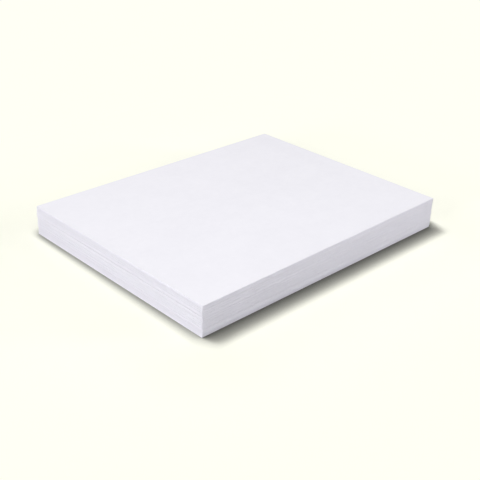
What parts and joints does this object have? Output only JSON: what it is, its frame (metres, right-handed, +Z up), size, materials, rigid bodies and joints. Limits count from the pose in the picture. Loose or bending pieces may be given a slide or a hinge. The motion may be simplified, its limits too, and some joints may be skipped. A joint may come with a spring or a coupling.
{
  "type": "ream of paper",
  "caption": "Loose block of plain white cut office paper, squared up by hand, every sheet a thin plate of its own.",
  "frame": {"origin": "middle of the block's footprint, on the table", "axes": "+X along the sheets' long side towards the loose end, +Y along the short side, +Z up"},
  "size_m": [0.2802, 0.2167, 0.0287],
  "materials": {
    "paper": "uncoated, matt, slightly bluish white"
  },
  "bodies": {
    "root": {"bottom_sheet": "paper", "lift_01": "paper", "lift_02": "paper", "lift_03": "paper", "lift_04": "paper", "lift_05": "paper", "lift_06": "paper", "lift_07": "paper", "lift_08": "paper", "lift_09": "paper", "lift_10": "paper", "lift_11": "paper", "lift_12": "paper", "lift_13": "paper", "lift_14": "paper", "lift_15": "paper", "lift_16": "paper", "lift_17": "paper", "lift_18": "paper", "lift_19": "paper", "lift_20": "paper", "lift_21": "paper", "lift_22": "paper", "lift_23": "paper", "lift_24": "paper", "lift_25": "paper", "lift_26": "paper", "lift_27": "paper", "lift_28": "paper", "lift_29": "paper", "lift_30": "paper", "lift_31": "paper", "top_sheet": "paper"}
  },
  "joints": []
}
